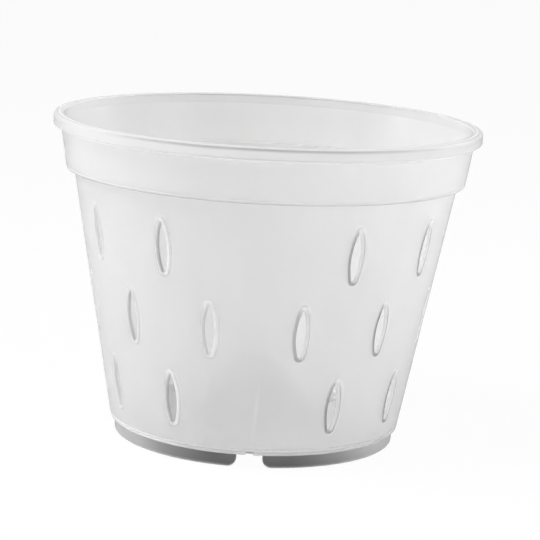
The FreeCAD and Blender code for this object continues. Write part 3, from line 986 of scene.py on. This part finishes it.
def milky_plastic():
    """Milky plastic: light passes a face straight, blurred, as an even glow, or bounces off."""
    if "milky plastic" in bpy.data.materials:
        return bpy.data.materials["milky plastic"]
    p = look()
    material, tree, output = fresh_material("milky plastic")
    place = tree.nodes.new("ShaderNodeTexCoord")
    swell, cloud = variation(tree, place, p)
    # The third column's painted shade, on the feet and the lip, fades where a face turns from the
    # camera.
    facing = node(tree, "ShaderNodeLayerWeight", Blend=0.5).outputs["Facing"]
    dull = arithmetic(tree, "MULTIPLY_ADD", facing, -p.sheen, p.sheen_start)
    dull = arithmetic(tree, "MINIMUM", arithmetic(tree, "MAXIMUM", dull, 0.0), 1.0)
    ground = arithmetic(tree, "MULTIPLY", read(tree, "ground"), dull)
    shade = arithmetic(tree, "MAXIMUM", read(tree, "shade"), ground)
    shine = arithmetic(tree, "MAXIMUM", read(tree, "shine"), flow_line(tree, place, p))
    # Painted shade darkens the base colour and painted highlights brighten it; the flow line is
    # the moulding's own mark.
    shaded = blend(tree, shade, p.body, p.dark)
    tint = tree.nodes.new("ShaderNodeVectorMath")
    tint.operation = "SCALE"
    tree.links.new(blend(tree, shine, shaded, p.bright), tint.inputs[0])
    tree.links.new(swell, tint.inputs["Scale"])
    dense = arithmetic(tree, "POWER", facing, p.density_fall)
    dense = arithmetic(tree, "MULTIPLY", dense, p.density)
    # Light through a face is darkened by painted shade too, and by density at the edge.
    glow_tint = blend(tree, arithmetic(tree, "MAXIMUM", shade, dense), p.through, p.dark)
    waves = node(
        tree, "ShaderNodeBump",
        Height=cloud.outputs["Fac"], Strength=p.wave_strength, Distance=p.wave,
    )
    solid = node(
        tree, "ShaderNodeBsdfPrincipled",
        Base_Color=tint.outputs[0], Roughness=p.roughness, Normal=waves.outputs[0],
    )
    blurred = node(
        tree, "ShaderNodeBsdfPrincipled",
        Base_Color=glow_tint, Roughness=p.roughness, Transmission_Weight=1.0,
        IOR=p.refraction, Normal=waves.outputs[0],
    )
    glow = node(tree, "ShaderNodeBsdfTranslucent", Color=glow_tint)
    clear = node(tree, "ShaderNodeBsdfTransparent")
    body = layer(tree, p.glow, solid.outputs[0], glow.outputs[0])
    # Painted highlights and painted shade also hold back the blurred and the clear light.
    plain = arithmetic(tree, "SUBTRACT", 1.0, shine)
    body = layer(tree, arithmetic(tree, "MULTIPLY", plain, p.blurred), body, blurred.outputs[0])
    plain = arithmetic(tree, "MULTIPLY", plain, arithmetic(tree, "SUBTRACT", 1.0, shade))
    body = layer(tree, arithmetic(tree, "MULTIPLY", plain, p.clear), body, clear.outputs[0])
    tree.links.new(body, output.inputs[0])
    return material


def clear_joint():
    """The faces where two regions of the one moulding join, which no light notices."""
    if "joint" in bpy.data.materials:
        return bpy.data.materials["joint"]
    material, tree, output = fresh_material("joint")
    clear = node(tree, "ShaderNodeBsdfTransparent")
    tree.links.new(clear.outputs[0], output.inputs[0])
    return material


def towards(azimuth, elevation):
    """The direction at an azimuth from the front to the right and at an elevation."""
    level = Vector((math.sin(azimuth), -math.cos(azimuth), 0))
    return level * math.cos(elevation) + Vector((0, 0, math.sin(elevation)))


class MakeStudio(bpy.types.Operator):
    """Make the floor, the white surroundings, the lamps and the camera"""

    bl_idname = "orchid_pot.make_studio"
    bl_label = "Make Studio"

    def execute(self, context):
        t = studio()
        scene = context.scene
        scene.view_settings.view_transform = "Standard"
        self.surroundings(scene, t)
        self.floor(scene, t)
        self.lamps(scene, t)
        self.camera(scene, t)
        return {"FINISHED"}

    def surroundings(self, scene, t):
        """Dim white light, which the camera, reflections and light through see as plain white."""
        world = bpy.data.worlds.new("white studio")
        world.use_nodes = True
        tree = world.node_tree
        tree.nodes.clear()
        output = tree.nodes.new("ShaderNodeOutputWorld")
        back = node(tree, "ShaderNodeBackground", Color=(1, 1, 1, 1), Strength=t.world)
        seen = node(tree, "ShaderNodeBackground", Color=(1, 1, 1, 1), Strength=1.0)
        path = tree.nodes.new("ShaderNodeLightPath")
        white = 0.0
        for kind in ("Is Camera Ray", "Is Transmission Ray", "Is Glossy Ray"):
            white = arithmetic(tree, "MAXIMUM", white, path.outputs[kind])
        mixed = layer(tree, white, back.outputs[0], seen.outputs[0])
        tree.links.new(mixed, output.inputs[0])
        scene.world = world

    def floor(self, scene, t):
        """A white floor, of which the camera sees most as plain white and the rest as painted."""
        mesh = bpy.data.meshes.new("studio_floor")
        far, under = t.floor_reach, -t.floor_drop
        corners = [(-far, -far, under), (far, -far, under), (far, far, under), (-far, far, under)]
        mesh.from_pydata(corners, [], [(0, 1, 2, 3)])
        material, tree, output = fresh_material("floor")
        paint = node(tree, "ShaderNodeBsdfDiffuse", Color=(*t.floor, 1))
        white = node(tree, "ShaderNodeEmission", Color=(1, 1, 1, 1), Strength=1.0)
        path = tree.nodes.new("ShaderNodeLightPath")
        part = arithmetic(tree, "MULTIPLY", path.outputs["Is Camera Ray"], t.floor_white)
        mixed = layer(tree, part, paint.outputs[0], white.outputs[0])
        tree.links.new(mixed, output.inputs[0])
        mesh.materials.append(material)
        floor = bpy.data.objects.new("studio_floor", mesh)
        scene.collection.objects.link(floor)

    def lamps(self, scene, t):
        """Soft lamps that point at the height that the camera looks at."""
        middle = Vector((0, 0, t.target_height))
        for name, (width, height, azimuth, elevation) in LAMPS.items():
            light = bpy.data.lights.new(f"{name}_lamp", "AREA")
            light.energy = getattr(t, name)
            light.shape = "RECTANGLE"
            light.size, light.size_y = width, height
            away = towards(azimuth * DEGREE, elevation * DEGREE)
            lamp = bpy.data.objects.new(f"{name}_lamp", light)
            lamp.location = middle + away * t.lamp_distance
            lamp.rotation_euler = (-away).to_track_quat("-Z", "Y").to_euler()
            scene.collection.objects.link(lamp)

    def camera(self, scene, t):
        """The camera looks at the target from its azimuth and elevation, and is then rolled."""
        data = bpy.data.cameras.new("camera")
        data.sensor_width = SENSOR_WIDTH
        data.lens = t.lens
        data.shift_x, data.shift_y = t.shift_x, t.shift_y
        side = towards(t.azimuth + QUARTER, 0)
        back = towards(t.azimuth, t.elevation)
        up = back.cross(side)
        right = side * math.cos(t.roll) + up * math.sin(t.roll)
        over = up * math.cos(t.roll) - side * math.sin(t.roll)
        turn = Matrix((right, over, back)).transposed().to_4x4()
        place = Vector((0, 0, t.target_height)) + back * t.distance
        camera = bpy.data.objects.new("camera", data)
        camera.matrix_world = Matrix.Translation(place) @ turn
        scene.collection.objects.link(camera)
        scene.camera = camera


class OrchidPotPanel(bpy.types.Panel):
    """Sidebar panel with the pot's steps and settings"""

    bl_idname = "VIEW3D_PT_orchid_pot"
    bl_label = "Orchid Pot"
    bl_space_type = "VIEW_3D"
    bl_region_type = "UI"
    bl_category = "Orchid Pot"

    def draw(self, context):
        for step in OPERATORS:
            self.layout.operator(step.bl_idname)
        for group in (shape(), look(), studio()):
            area = self.layout.box()
            for name in group.__annotations__:
                area.prop(group, name)


OPERATORS = (MakeCollar, MakeWall, MakeBase, MakeStudio)
GROUPS = {"pot_shape": PotShape, "pot_plastic": PlasticLook, "pot_studio": StudioSetup}


def register():
    for kind in (*GROUPS.values(), *OPERATORS, OrchidPotPanel):
        bpy.utils.register_class(kind)
    for name, kind in GROUPS.items():
        setattr(bpy.types.Scene, name, PointerProperty(type=kind))


def unregister():
    for name in GROUPS:
        delattr(bpy.types.Scene, name)
    for kind in reversed((*GROUPS.values(), *OPERATORS, OrchidPotPanel)):
        bpy.utils.unregister_class(kind)


def main():
    """Makes everything in order."""
    register()
    bpy.ops.orchid_pot.make_collar()
    bpy.ops.orchid_pot.make_wall()
    bpy.ops.orchid_pot.make_base()
    bpy.ops.orchid_pot.make_studio()


if __name__ == "__main__":
    main()
